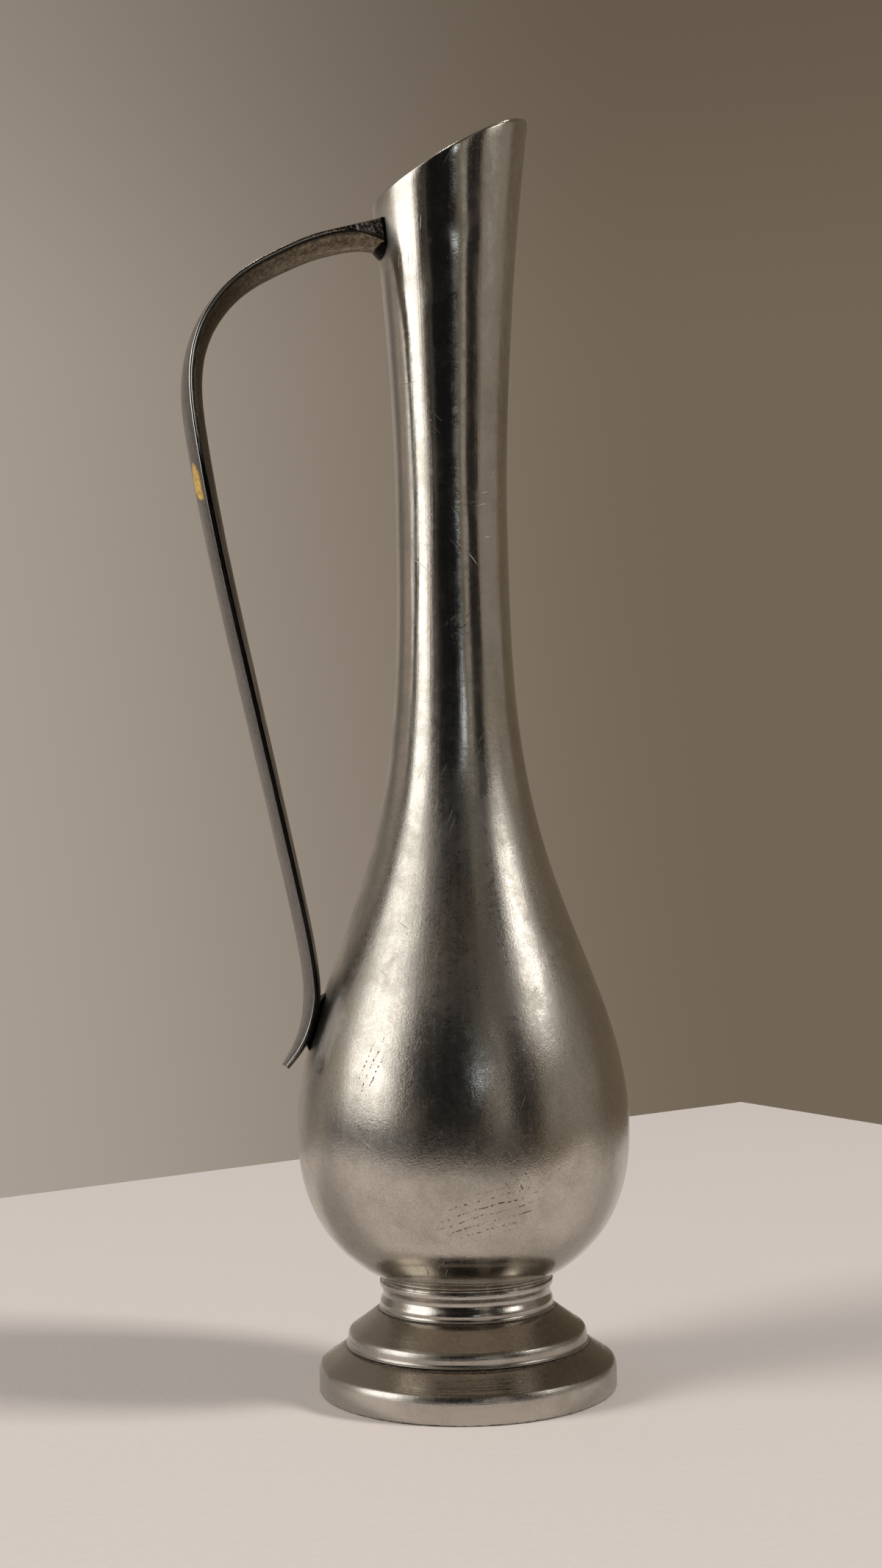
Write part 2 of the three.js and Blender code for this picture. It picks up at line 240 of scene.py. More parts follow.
def foot_tier(radius, bottom, band, top_radius, top, spread, foot_flare):
    """A spun tier's profile: an upright band to a height, a corner as high as its spread, a sloping top."""
    turn = radius - spread * 0.27
    rim = 4.6
    outer = []
    if foot_flare:
        for k in range(8):
            t = math.radians(62 - 62 * k / 7)
            across = radius + foot_flare * (1 - math.cos(t))
            outer.append((across, bottom + foot_flare * (0.95 - math.sin(t))))
    else:
        outer += [(radius - 0.45, bottom), (radius - 0.13, bottom + 0.13), (radius, bottom + 0.45)]
    outer.append((radius + 0.02, band))
    for k in range(1, 8):
        t = k / 7
        outer.append((radius + 0.02 - (radius - turn) * t**2, band + spread * t))
    slope = Vector((top_radius - turn, top - band - spread))
    for t in (0.05, 0.1, 0.2, 0.4, 0.6, 0.8):
        ease = 0.13 * math.exp(-t / 0.05)
        outer.append((turn + slope.x * t + ease, band + spread + slope.y * t + ease * 0.6))
    outer.append((top_radius, top))
    inner = [(top_radius - rim, top), (top_radius - rim, top - WALL), (top_radius - 0.6, top - WALL)]
    inner.append((radius - WALL, band + 0.2))
    inner.append((radius - WALL, bottom))
    return outer + inner


# Reach from the collar's radius, and height, from its groove round its top edge
COLLAR_EDGE = [
    (-0.6, 18.8),
    (-0.54, 19.05),
    (-0.45, 19.3),
    (-0.33, 19.52),
    (-0.2, 19.7),
    (-0.09, 19.84),
    (-0.03, 19.96),
    (0.0, 20.12),
    (0.02, 20.4),
    (0.03, COLLAR_TOP - 0.22),
    (-0.02, COLLAR_TOP - 0.08),
    (-0.16, COLLAR_TOP),
]
COLLAR_BORE = 12.5


def make_collar():
    """The turned ring: a small flare, a hollow over it, a groove and a top edge."""
    flare = 0.8
    hollow_bottom, hollow_height, hollow_depth = 16.6, 1.9, 0.31
    profile = [(COLLAR_BORE, COLLAR_BOTTOM)]
    for k in range(8):
        t = math.radians(60 - 60 * k / 7)
        across = COLLAR_RADIUS - 0.1 + flare * (1 - math.cos(t))
        profile.append((across, COLLAR_BOTTOM + flare * (0.87 - math.sin(t))))
    profile.append((COLLAR_RADIUS - 0.03, COLLAR_BOTTOM + 0.85))
    for k in range(15):
        t = k / 14
        inward = hollow_depth * (1 - math.cos(math.pi * t))
        profile.append((COLLAR_RADIUS - inward, hollow_bottom + hollow_height * t))
    profile += [(COLLAR_RADIUS + out, z) for out, z in COLLAR_EDGE]
    profile.append((COLLAR_BORE, COLLAR_TOP))
    return lathe("collar_skin", profile)


def make_tiers():
    """The two tiers: each ends a little outside the ring that stands on it."""
    step = 0.4
    lower = foot_tier(
        BASE_RADIUS,
        bottom=0.0,
        band=3.7,
        top_radius=UPPER_RADIUS + step,
        top=LOWER_TOP,
        spread=1.55,
        foot_flare=0.0,
    )
    upper = foot_tier(
        UPPER_RADIUS,
        bottom=UPPER_BOTTOM,
        band=10.1,
        top_radius=COLLAR_RADIUS + step,
        top=UPPER_TOP,
        spread=1.2,
        foot_flare=0.85,
    )
    return lathe("lower_tier_skin", lower), lathe("upper_tier_skin", upper)


# Reach from the collar's radius and height over its top, up the outside of the fillet
FILLET_EDGE = [
    (-0.22, -0.15),
    (-0.22, 0.02),
    (-0.34, 0.17),
    (-0.36, 0.36),
    (-0.24, 0.58),
    (-0.02, 0.8),
    (0.2, 0.98),
    (0.05, 1.15),
]
FILLET_BORE = 14.9


def make_fillet():
    """The pewter fillet that closes the step between the collar and the bowl."""
    profile = [(FILLET_BORE, COLLAR_TOP - 0.15)]
    profile += [(COLLAR_RADIUS + out, COLLAR_TOP + up) for out, up in FILLET_EDGE]
    profile.append((FILLET_BORE, COLLAR_TOP + 0.6))
    return lathe("collar_fillet_skin", profile)


# The handle and its solder

HANDLE_STATIONS = [
    # reach from the axis and height of the outer face
    (12.6, 231.2),
    (16.5, 229.8),
    (22.0, 227.8),
    (28.8, 225.4),
    (35.9, 221.8),
    (43.4, 216.9),
    (49.1, 210.6),
    (52.5, 203.5),
    (53.72, 194.2),
    (52.8, 185.0),
    (50.3, 170.5),
    (46.9, 154.0),
    (42.4, 134.0),
    (37.9, 114.0),
    (33.7, 95.0),
    (31.35, 82.5),
    (30.95, 76.8),
    (31.6, 72.2),
    (33.1, 68.0),
    (36.05, 63.6),
]


def spline(stations, count):
    """A natural cubic through the stations, sampled evenly along its length."""
    points = np.array(stations, float)
    steps = np.hypot(*np.diff(points, axis=0).T)
    knots = np.concatenate([[0], np.cumsum(steps)])
    n = len(points)
    matrix = np.zeros((n, n))
    right = np.zeros((n, 2))
    matrix[0, 0] = matrix[-1, -1] = 1
    for i in range(1, n - 1):
        matrix[i, i - 1] = steps[i - 1]
        matrix[i, i] = 2 * (steps[i - 1] + steps[i])
        matrix[i, i + 1] = steps[i]
        ahead = (points[i + 1] - points[i]) / steps[i]
        right[i] = 6 * (ahead - (points[i] - points[i - 1]) / steps[i - 1])
    bend = np.linalg.solve(matrix, right)
    dense = np.linspace(0, knots[-1], 2400)
    index = np.clip(np.searchsorted(knots, dense) - 1, 0, n - 2)
    h = steps[index][:, None]
    a = (knots[index + 1] - dense)[:, None]
    b = (dense - knots[index])[:, None]
    curve = (
        bend[index] * a**3 / (6 * h)
        + bend[index + 1] * b**3 / (6 * h)
        + (points[index] / h - bend[index] * h / 6) * a
        + (points[index + 1] / h - bend[index + 1] * h / 6) * b
    )
    run = np.concatenate([[0], np.cumsum(np.hypot(*np.diff(curve, axis=0).T))])
    even = np.linspace(0, run[-1], count)
    return np.stack([np.interp(even, run, curve[:, 0]), np.interp(even, run, curve[:, 1])], 1), run[-1]


# How the inner side rises from its edge to the keel: share of the rise, and share of the half width
KEEL_CURVE = [(0.26, 0.86), (0.5, 0.7), (0.7, 0.53), (0.85, 0.36), (0.95, 0.2), (0.99, 0.08)]


def handle_section(width, side, keel, crown, draft):
    """Half-open list of (depth, across) round the strap: crowned face, arris, leaning flank, keel."""
    half = width / 2
    ease = min(0.3, side * 0.3)
    edge = half - 0.08 - 0.22 * draft
    corners = []
    for k in range(9):
        t = -1 + 2 * k / 8
        across = t * (edge - ease)
        corners.append((-crown * (1 - t * t), across))
    for t in (0.25, 0.5, 0.75):
        turn = math.pi / 2 * t
        corners.append((ease - ease * math.cos(turn), edge - ease + ease * math.sin(turn)))
    for t in (0.0, 0.25, 0.5, 0.75, 1.0):
        bow = (0.08 + 0.12 * draft) * (1 - t) ** 2 + 0.1 * (1 - t) * draft + 0.05 * t**3 * (1 - draft)
        corners.append((ease + (side - ease) * t, half - bow))
    for rise, across in KEEL_CURVE:
        corners.append((side + (keel - side) * rise, half * across))
    corners.append((keel, 0.0))
    mirrored = [(depth, -across) for depth, across in reversed(corners[9:-1])]
    return corners + mirrored


def handle_shape(u):
    """Width, depths, crown and draft of the strap at a share of its length from the neck.

    It narrows and thins toward its tip, slims down the shank, and is narrower and deeper at its root.
    """
    crown = 0.33
    tip_taper, tip_thin = 14, 12
    from_root = u * ROUTE_LENGTH
    from_tip = (1 - u) * ROUTE_LENGTH
    taper = min(1.0, 0.42 + 0.58 * (from_tip / tip_taper) ** 0.8)
    thin = min(1.0, 0.55 + 0.45 * from_tip / tip_thin)
    root = math.exp(-((max(0.0, from_root - 1.3) / 5.2) ** 2))
    down = min(1.0, u / 0.92)
    width = HANDLE_WIDTH - 2.6 * math.exp(-((from_root / 9) ** 2))
    side = 1.1 - 0.3 * down + 4.2 * root
    keel = 3.9 - 1.7 * down + 2.4 * root
    draft = smooth(from_root, 62, 88)
    return width * taper, side * thin, keel * thin, crown * taper, draft


ROUTE_POINTS = 600
STRAP_ROWS = 260
ROUTE, ROUTE_LENGTH = spline(HANDLE_STATIONS, ROUTE_POINTS)


def route_at(u):
    """The point of the strap's outer face at a share of its length, and the way inward."""
    last = ROUTE_POINTS - 1
    at = u * last
    low = min(int(at), last - 1)
    point = ROUTE[low] + (ROUTE[low + 1] - ROUTE[low]) * (at - low)
    ahead = ROUTE[min(low + 6, last)] - ROUTE[max(low - 6, 0)]
    ahead = ahead / np.hypot(*ahead)
    return point, np.array([ahead[1], -ahead[0]])


def inner_face(u, across):
    """Reach and height of the strap's inner face at a distance from its middle."""
    point, inward = route_at(u)
    width, side, keel = handle_shape(u)[:3]
    rises = [1.0] + [rise for rise, _ in reversed(KEEL_CURVE)] + [0.0]
    shares = [0.0] + [share for _, share in reversed(KEEL_CURVE)] + [1.0]
    depth = side + (keel - side) * float(np.interp(abs(across) * 2 / width, shares, rises))
    return point + inward * depth


def make_strap():
    """The strap's skin, cut flat at its root, with a layout for its material."""
    vertices, faces, layout = [], [], []
    for i in range(STRAP_ROWS + 1):
        u = i / STRAP_ROWS
        point, inward = route_at(u)
        width, side, keel, crown, draft = handle_shape(u)
        section = handle_section(width, side, keel, crown, draft)
        size = len(section)
        for depth, across in section:
            part = depth / side if depth < side else 1 + (depth - side) / (keel - side)
            layout.append((u * ROUTE_LENGTH, across, max(0.0, part)))
            flat = point + inward * depth
            rough = 0.05 * noise.noise(Vector((flat[0] * 0.25, across * 0.3, flat[1] * 0.25)))
            flat = flat + inward * (abs(rough) if depth < keel * 0.3 else -abs(rough))
            vertices.append((-flat[0], across, flat[1]))
    for i in range(STRAP_ROWS):
        for j in range(size):
            up = (j + 1) % size
            faces.append((i * size + j, i * size + up, (i + 1) * size + up, (i + 1) * size + j))
    faces.append(tuple(range(size)))
    faces.append(tuple(range(STRAP_ROWS * size, (STRAP_ROWS + 1) * size)))
    piece = mesh_object("handle_skin", vertices, faces)
    # the layout: along the strap and across it, and round it from the outer face (0) over the inner
    # edge (1) to the keel (2)
    route_map = piece.data.uv_layers.new(name="route")
    part_map = piece.data.uv_layers.new(name="section")
    for loop in piece.data.loops:
        along, across, part = layout[loop.vertex_index]
        route_map.data[loop.index].uv = (along, across)
        part_map.data[loop.index].uv = (part, 0.0)
    # the end against the neck is flat, and leans a little with the wall
    gap, lean = 0.12, 0.09
    height = ROUTE[0][1] - 0.7
    work = bmesh.new()
    work.from_mesh(piece.data)
    cut = bmesh.ops.bisect_plane(
        work,
        geom=work.verts[:] + work.edges[:] + work.faces[:],
        plane_co=(-(body_radius(height) + gap) * MM, 0, height * MM),
        plane_no=(1, 0, lean),
        clear_outer=True,
    )
    rim = [part for part in cut["geom_cut"] if isinstance(part, bmesh.types.BMEdge)]
    bmesh.ops.holes_fill(work, edges=rim)
    work.to_mesh(piece.data)
    work.free()
    return finish_mesh(piece, STRAP_CREASE)


def sheet_solid(name, rows, columns, place):
    """A closed solid between two skins: place gives a point of each from its shares up and across."""
    grid = [[place(i / rows, j / columns) for j in range(columns + 1)] for i in range(rows + 1)]
    vertices = [pair[side] for side in (0, 1) for row in grid for pair in row]
    rows, columns = rows + 1, columns + 1
    faces = []
    for side in (0, rows * columns):
        for i in range(rows - 1):
            for j in range(columns - 1):
                a = side + i * columns + j
                faces.append((a, a + 1, a + columns + 1, a + columns))
    rim = [(0, j) for j in range(columns)]
    rim += [(i, columns - 1) for i in range(1, rows)]
    rim += [(rows - 1, j) for j in reversed(range(columns - 1))]
    rim += [(i, 0) for i in reversed(range(1, rows - 1))]
    for k, (i, j) in enumerate(rim):
        m, n = rim[(k + 1) % len(rim)]
        a, b = i * columns + j, m * columns + n
        faces.append((a, b, b + rows * columns, a + rows * columns))
    return finish_mesh(mesh_object(name, vertices, faces), SOLDER_CREASE)


def wall_x(across, z, inside):
    """Where the wall lies on the handle's side, moved inward by a depth."""
    radius = body_radius(z) - inside
    return -math.sqrt(max(0.0, radius**2 - across**2))


def seat_solder():
    """The wedge of solder between the strap's foot and the bulb, coloured black as painted shade in the
    gap.
    """
    # its ends, as shares of the strap's length
    low, high = 0.971, 0.932

    def place(t, share):
        u = low + (high - low) * t
        end = 2 * t - 1
        half = min(handle_shape(u)[0] / 2 - 0.3, 4.2 - 0.8 * end**4)
        near = 1.6 - end**4
        across = -near + (half + near) * share
        under = across + 2.6 * (1 - share)
        ragged = 0.3 * noise.noise(Vector((across * 0.7, t * 5, 3.0)))
        reach, z = inner_face(u, across)
        foot = z + 1.7 * end**3 + ragged * end
        return (-reach - 0.12, across, z), (wall_x(under, foot, 0.25), under, foot)

    return sheet_solid("seat_solder_skin", rows=24, columns=14, place=place)


def root_solder():
    """The solder fillet in the corner under the strap's root, coloured black as painted shade."""
    half = 3.35

    def place(t, share):
        across = half * (2 * share - 1)
        round_off = 1 - 0.3 * abs(across / half) ** 3
        z = inner_face(0.02, across)[1] + 0.35
        ragged = 0.25 * noise.noise(Vector((across * 0.8, t * 3, 8.0)))
        late = max(0.0, t * 2 - 1)
        drop = (1.7 + ragged) * round_off * late
        out = (1.6 + ragged) * round_off * (t * 2 if t < 0.5 else (1 - late) ** 0.65)
        face = (wall_x(across, z - drop, 0.05) - out, across, z - drop)
        return face, (wall_x(across, z, 0.3), across, z - 0.2 * t)

    return sheet_solid("root_solder_skin", rows=16, columns=20, place=place)


def end_solder():
    """A thin line of solder in the gap between the strap's flat end and the neck, coloured black as painted
    shade.
    """
    half, bottom, rise = 3.6, 225.2, 5.3

    def place(t, share):
        across = half * (2 * share - 1)
        z = bottom + rise * t
        return (-(body_radius(z) + 0.14), across, z), (wall_x(across, z, 0.15), across, z)

    return sheet_solid("end_solder_skin", rows=8, columns=20, place=place)


# Materials


class Graph:
    """A node tree, with short calls for its textures and maths."""

    def __init__(self, tree):
        self.tree = tree

    def node(self, kind, inputs=None, **values):
        """A new node: its inputs as numbers or sockets, and its settings by name."""
        made = self.tree.nodes.new(kind)
        for key, value in values.items():
            setattr(made, key, value)
        for key, value in (inputs or {}).items():
            self.wire(value, made.inputs[key])
        return made

    def wire(self, source, socket):
        if isinstance(source, bpy.types.NodeSocket):
            self.tree.links.new(source, socket)
        else:
            socket.default_value = source

    def maths(self, operation, a, b=0.0, c=0.0):
        return self.node("ShaderNodeMath", {0: a, 1: b, 2: c}, operation=operation).outputs[0]

    def vector(self, operation, a, b=(0.0, 0.0, 0.0), scale=1.0):
        given = {"Scale": scale} if operation == "SCALE" else {1: b}
        made = self.node("ShaderNodeVectorMath", {0: a, **given}, operation=operation)
        scalar = operation in ("LENGTH", "DISTANCE", "DOT_PRODUCT")
        return made.outputs["Value" if scalar else "Vector"]

    def join(self, x, y, z):
        return self.node("ShaderNodeCombineXYZ", {0: x, 1: y, 2: z}).outputs[0]

    def split(self, vector):
        return self.node("ShaderNodeSeparateXYZ", {0: vector}).outputs

    def fit(self, value, low, high, out_low=0.0, out_high=1.0):
        """A soft step: out_low below low, out_high beyond high."""
        given = {"Value": value, "From Min": low, "From Max": high, "To Min": out_low, "To Max": out_high}
        return self.node("ShaderNodeMapRange", given, interpolation_type="SMOOTHSTEP").outputs["Result"]

    def blend(self, share, a, b):
        """A mix of two colours: the first at 0, the second at 1."""
        a, b = (value if isinstance(value, bpy.types.NodeSocket) else (*value, 1.0) for value in (a, b))
        return self.node("ShaderNodeMix", {0: share, 6: a, 7: b}, data_type="RGBA").outputs[2]

    def either(self, share, first, second):
        """A mix of two shaders: the first at 0, the second at 1."""
        return self.node("ShaderNodeMixShader", {0: share, 1: first, 2: second}).outputs[0]

    def span(self, value, a, b, c, d):
        """1 between b and c, fading out to 0 at a and at d."""
        return self.times(self.fit(value, a, b), self.fit(value, c, d, 1.0, 0.0))

    def near(self, value, centre, width):
        """A soft band: 1 at the centre, 0 beyond the width."""
        away = self.maths("ABSOLUTE", self.maths("SUBTRACT", value, centre))
        return self.fit(away, 0.0, width, 1.0, 0.0)

    def add(self, *values):
        total = values[0]
        for value in values[1:]:
            total = self.maths("ADD", total, value)
        return total

    def times(self, *values):
        total = values[0]
        for value in values[1:]:
            total = self.maths("MULTIPLY", total, value)
        return total


class Look(Graph):
    """A node material whose tone, roughness and height are gathered step by step, in millimetres."""

    def __init__(self, name):
        self.material = bpy.data.materials.new(name)
        self.material.use_nodes = True
        super().__init__(self.material.node_tree)
        self.shader = self.tree.nodes["Principled BSDF"]
        place = self.node("ShaderNodeTexCoord").outputs["Object"]
        self.place = self.vector("SCALE", place, scale=1 / MM)
        self.x, self.y, self.z = self.split(self.place)
        self.turn = self.maths("ARCTAN2", self.y, self.x)

    def stretched(self, around, along, offset=0.0):
        """Coordinates wound round the axis: cells per radian, and per millimetre of height."""
        cosine = self.maths("MULTIPLY", self.maths("COSINE", self.turn), around)
        sine = self.maths("MULTIPLY", self.maths("SINE", self.turn), around)
        up = self.maths("MULTIPLY_ADD", self.z, along, offset)
        return self.join(cosine, sine, up)

    def turned(self, size, turn, offset):
        """Coordinates moved, then turned, then counted in cells of the given size."""
        angles = [math.radians(a) for a in turn]
        given = {"Vector": self.place, "Scale": size, "Rotation": angles, "Location": offset}
        return self.node("ShaderNodeMapping", given, vector_type="TEXTURE").outputs[0]

    def layout(self, name):
        """The parts of a layout that the mesh carries."""
        return self.split(self.node("ShaderNodeUVMap", uv_map=name).outputs[0])

    def noise(self, scale, detail=3.0, rough=0.55, where=None, bend=0.0):
        given = {"Scale": scale, "Detail": detail, "Roughness": rough, "Distortion": bend}
        return self.node("ShaderNodeTexNoise", {"Vector": where or self.place, **given}).outputs[0]

    def cells(self, scale, where=None):
        given = {"Vector": where or self.place, "Scale": scale}
        return self.node("ShaderNodeTexVoronoi", given).outputs["Distance"]

    def paint(self, share, colour):
        """Lays a colour over the tone."""
        self.tone = self.blend(share, self.tone, colour)

    def roughen(self, *shares):
        """Adds the product of the shares to the roughness."""
        self.rough = self.add(self.rough, self.times(*shares))

    def lift(self, *shares):
        """Adds the product of the shares to the height."""
        self.height = self.add(self.height, self.times(*shares))

    def scratches(self, turn, thin, long, cover, seed):
        """Straight hairlines across one direction: flat cells whose middles alone show."""
        where = self.turned((thin, long, long), turn, (seed, -seed, seed * 0.7))
        line = self.fit(self.cells(1.0, where), HAIRLINE * 0.35, HAIRLINE, 1.0, 0.0)
        patch = self.noise(0.05, 2.0, 0.6, self.turned((1, 1, 1), (0, 0, 0), (-seed,) * 3))
        return self.times(line, self.fit(patch, cover, cover + 0.12))

    def pits(self, azimuth, z, radius, lean, half_long, half_wide, pitch):
        """Broken rows of dark dents along slanting lines, inside a small oval of the wall."""
        sine, cosine = math.sin(math.radians(lean)), math.cos(math.radians(lean))
        aside = self.maths("SUBTRACT", self.turn, math.radians(azimuth - 90))
        aside = self.times(aside, radius)
        up = self.maths("SUBTRACT", self.z, z)
        along = self.add(self.times(aside, cosine), self.times(up, sine))
        across = self.add(self.times(up, cosine), self.times(aside, -sine))
        oval = self.join(self.times(along, 1 / half_long), self.times(across, 1 / half_wide), 0)
        far = self.vector("LENGTH", oval)
        sway = self.times(self.maths("SUBTRACT", self.noise(0.14, 2.0, 0.5), 0.5), 2.4)
        row = self.maths("PINGPONG", self.add(across, sway), pitch / 2)
        broken = self.noise(1.0, 2.0, 0.6, self.join(self.times(along, 1.6), self.times(across, 0.9), z))
        return self.times(
            self.fit(far, 0.5, 1.0, 1.0, 0.0),
            self.fit(row, 0.03, 0.15, 1.0, 0.0),
            self.fit(broken, 0.5, 0.58),
        )


# The width of a scratch, as a share of its cell
HAIRLINE = 0.12

# Each direction of scratches: its turns in degrees, thickness and length of its cells, cover, seed
SCRATCHES = [
    ((0, 24, 10), 0.5, 20.0, 0.49, 3.1),
    ((15, -38, 0), 0.5, 26.0, 0.54, 11.7),
    ((0, 8, -55), 0.45, 16.0, 0.52, 23.9),
    ((0, 72, 30), 0.5, 22.0, 0.57, 31.3),
    ((30, 50, 75), 0.45, 18.0, 0.56, 47.9),
]


def pewter(name, colour, dark, rough, grain, streak_along, wear):
    """Satin pewter: soft tarnish, drawn streaks, scratches, specks and dull spots.

    The grain is how deep its texture is, the streaks run round or along the axis as streak_along says,
    and wear is how strongly scratches and specks show.
    """
    look = Look(name)
    soft = look.noise(0.045, 4.0, 0.6)
    patchy = look.noise(0.21, 4.0, 0.62, bend=0.6)
    fine = look.noise(2.6, 3.0, 0.6)
    satin = look.noise(1.15, 2.0, 0.6)
    streak = look.noise(1.0, 3.0, 0.65, look.stretched(*streak_along))
    finer = look.stretched(streak_along[0] * 3.1, streak_along[1] * 2.2, 40.0)
    streak_fine = look.noise(1.0, 2.0, 0.6, finer)
    tarnish = look.fit(look.add(look.times(soft, 0.6), look.times(patchy, 0.4)), 0.42, 0.66)
    scratch = 0.0
    for values in SCRATCHES:
        scratch = look.maths("MAXIMUM", scratch, look.scratches(*values))
    speck = look.times(
        look.fit(look.cells(0.85), 0.0, 0.11, 1.0, 0.0),
        look.fit(look.noise(0.16, 2.0, 0.5), 0.52, 0.64),
    )
    spot_size = look.add(look.cells(0.24), look.times(look.maths("SUBTRACT", satin, 0.5), 0.35))
    spot = look.times(
        look.fit(spot_size, 0.14, 0.24, 1.0, 0.0),
        look.fit(look.noise(0.06, 1.0, 0.5, look.turned((1, 1, 1), (0, 0, 0), (55, 0, 0))), 0.5, 0.6),
    )
    look.tone = look.blend(look.times(tarnish, 0.75), colour, dark)
    look.paint(look.times(look.fit(streak, 0.35, 0.7), 0.12), dark)
    look.paint(look.times(scratch, 0.3 * wear), tuple(c * 0.4 for c in dark))
    look.paint(look.times(speck, 0.4 * wear), tuple(c * 0.3 for c in dark))
    look.rough = look.add(
        rough,
        look.times(look.maths("SUBTRACT", tarnish, 0.35), 0.1),
        look.times(look.maths("SUBTRACT", streak, 0.5), 0.12),
        look.times(look.maths("SUBTRACT", fine, 0.5), 0.14),
        look.times(look.maths("SUBTRACT", satin, 0.5), 0.12),
        look.times(scratch, 0.2 * wear),
        look.times(spot, 0.06),
    )
    look.height = look.add(
        look.times(fine, 0.36 * grain),
        look.times(satin, 0.4 * grain),
        look.times(streak, 0.5),
        look.times(streak_fine, 0.2),
        look.times(patchy, 0.55 * grain),
        look.times(scratch, -0.5 * wear),
        look.times(speck, -0.9),
        look.times(spot, 0.12),
    )
    look.shader.inputs["Metallic"].default_value = 1.0
    look.grain = look.add(look.times(satin, 0.15), look.times(fine, 1.0))
    return look


def close(look, reach):
    """Wires what a material has gathered into its shader; reach is its bump's depth in millimetres."""
    look.wire(look.tone, look.shader.inputs["Base Color"])
    rough = look.maths("MINIMUM", look.maths("MAXIMUM", look.rough, 0.08), 0.95)
    look.wire(rough, look.shader.inputs["Roughness"])
    bump = look.node("ShaderNodeBump", {"Distance": reach * MM, "Height": look.height})
    look.wire(bump.outputs[0], look.shader.inputs["Normal"])
    return look.material


# Each patch of pits: azimuth, height, radius there, lean, half length, half breadth, pitch of its rows
PIT_PATCHES = [
    (-10, 38.0, 31.0, 14, 12.5, 5.4, 1.35),
    (-51, 64.0, 31.0, 70, 7.5, 2.6, 1.5),
    (1, 45.5, 32.5, -52, 5.5, 5.0, 1.9),
    (-14, 148.0, 12.0, 35, 3.5, 3.0, 1.2),
    (-30, 27.0, 24.0, 60, 4.0, 3.0, 1.6),
]


def vessel_material():
    pale, dark = (0.58, 0.543, 0.483), (0.40, 0.37, 0.32)
    look = pewter("spun_pewter", pale, dark, 0.235, 1.0, (22.0, 0.035, 0.0), 1.0)
    # the neck is brighter polished than the satin bulb, and so is the turn of the bowl above the foot;
    # the shoulder is the dullest, and the satin has a fine grain
    polished = look.maths("MAXIMUM", look.fit(look.z, 95.0, 150.0), look.fit(look.z, 26.0, 32.0, 1.0, 0.0))
    look.roughen(polished, -0.075)
    shoulder = look.span(look.z, 58.0, 80.0, 105.0, 125.0)
    look.roughen(shoulder, 0.06)
    look.lift(look.grain, look.fit(look.z, 85.0, 140.0, 0.85, 0.0), look.fit(look.z, 28.0, 50.0))
    sparkle = look.fit(look.noise(3.4, 2.0, 0.7), 0.42, 0.62)
    sparkle = look.times(sparkle, look.fit(look.z, 110.0, 150.0, 0.34, 0.1))
    look.paint(sparkle, (0.25, 0.235, 0.21))
    # the bowl's bottom edge, just over the collar, is darker, browner and duller
    darkened_band = look.times(
        look.fit(look.z, 21.0, 22.6, 1.0, 0.0),
        look.fit(look.noise(0.5, 3.0), 0.35, 0.65, 0.35, 1.0),
    )
    look.paint(look.times(darkened_band, 0.8), (0.15, 0.12, 0.085))
    look.roughen(darkened_band, 0.2)
    # the flared top of the neck is duller on the pouring side
    dull = look.times(look.fit(look.z, 120.0, 225.0), look.fit(look.x, -2.0, 9.0))
    cloud = look.noise(1.0, 3.0, 0.6, look.stretched(4.0, 0.16, 0.0))
    look.roughen(dull, look.fit(cloud, 0.36, 0.64, 0.03, 0.25))
    # metal smeared pale and dull by the soldering of the handle's two joints
    for x, z, size in ((-14.0, 227.0, 8.5), (-28.5, 71.0, 12.0)):
        far = look.vector("DISTANCE", look.place, (x, 0.0, z))
        ragged = look.add(far, look.times(look.noise(0.5, 3.0), 4.0))
        smear = look.fit(ragged, size * 0.7, size + 2.0, 1.0, 0.0)
        look.paint(look.times(smear, 0.5), (0.66, 0.63, 0.58))
        look.roughen(smear, 0.26)
    # old dents that hold dirt
    dirt = 0.0
    for values in PIT_PATCHES:
        dirt = look.maths("MAXIMUM", dirt, look.pits(*values))
    look.paint(look.times(dirt, 0.85), (0.05, 0.042, 0.032))
    look.roughen(dirt, 0.3)
    look.lift(dirt, -1.5)
    return close(look, 0.022)


def foot_material():
    pale, dark = (0.5, 0.47, 0.425), (0.37, 0.34, 0.295)
    look = pewter("turned_pewter", pale, dark, 0.27, 1.4, (3.0, 2.4, 7.0), 0.7)
    # the sloping tops are matt and brown with age, and painted darker still as shade under the bowl, with
    # grains that still glint
    lower = look.span(look.z, 4.8, 5.6, 8.3, 8.6)
    upper = look.span(look.z, 11.0, 11.8, 15.1, 15.5)
    tarnish_and_shade = look.maths("MAXIMUM", lower, upper)
    glint = look.fit(look.noise(1.7, 2.0, 0.6), 0.54, 0.64)
    look.paint(look.times(tarnish_and_shade, 0.75), (0.31, 0.27, 0.215))
    look.roughen(tarnish_and_shade, -0.01)
    look.roughen(tarnish_and_shade, glint, -0.1)
    # the collar's bead is polished, and every ring keeps the fine lines of its turning
    bead = look.span(look.z, 15.4, 16.0, 19.0, 19.6)
    look.roughen(bead, -0.06)
    turning = look.noise(1.0, 2.0, 0.6, look.stretched(2.0, 5.5, 70.0))
    look.lift(turning, look.fit(bead, 0.0, 1.0, 1.1, 0.25))
    # darker rings at the joints of the tiers and in the collar's groove, and a painted contact shadow round
    # the bottom edge where the foot meets the table
    edge = look.noise(0.9, 3.0, 0.6)
    for z, width, share in ((8.5, 0.22, 0.7), (15.4, 0.3, 0.8), (0.0, 0.5, 1.4), (19.2, 0.5, 0.35)):
        darkened_band = look.times(look.near(look.z, z, width), look.fit(edge, 0.42, 0.62, 0.3, 1.0), share)
        look.paint(look.maths("MINIMUM", darkened_band, 1.0), (0.06, 0.048, 0.034))
        look.roughen(darkened_band, 0.25)
    return close(look, 0.024)


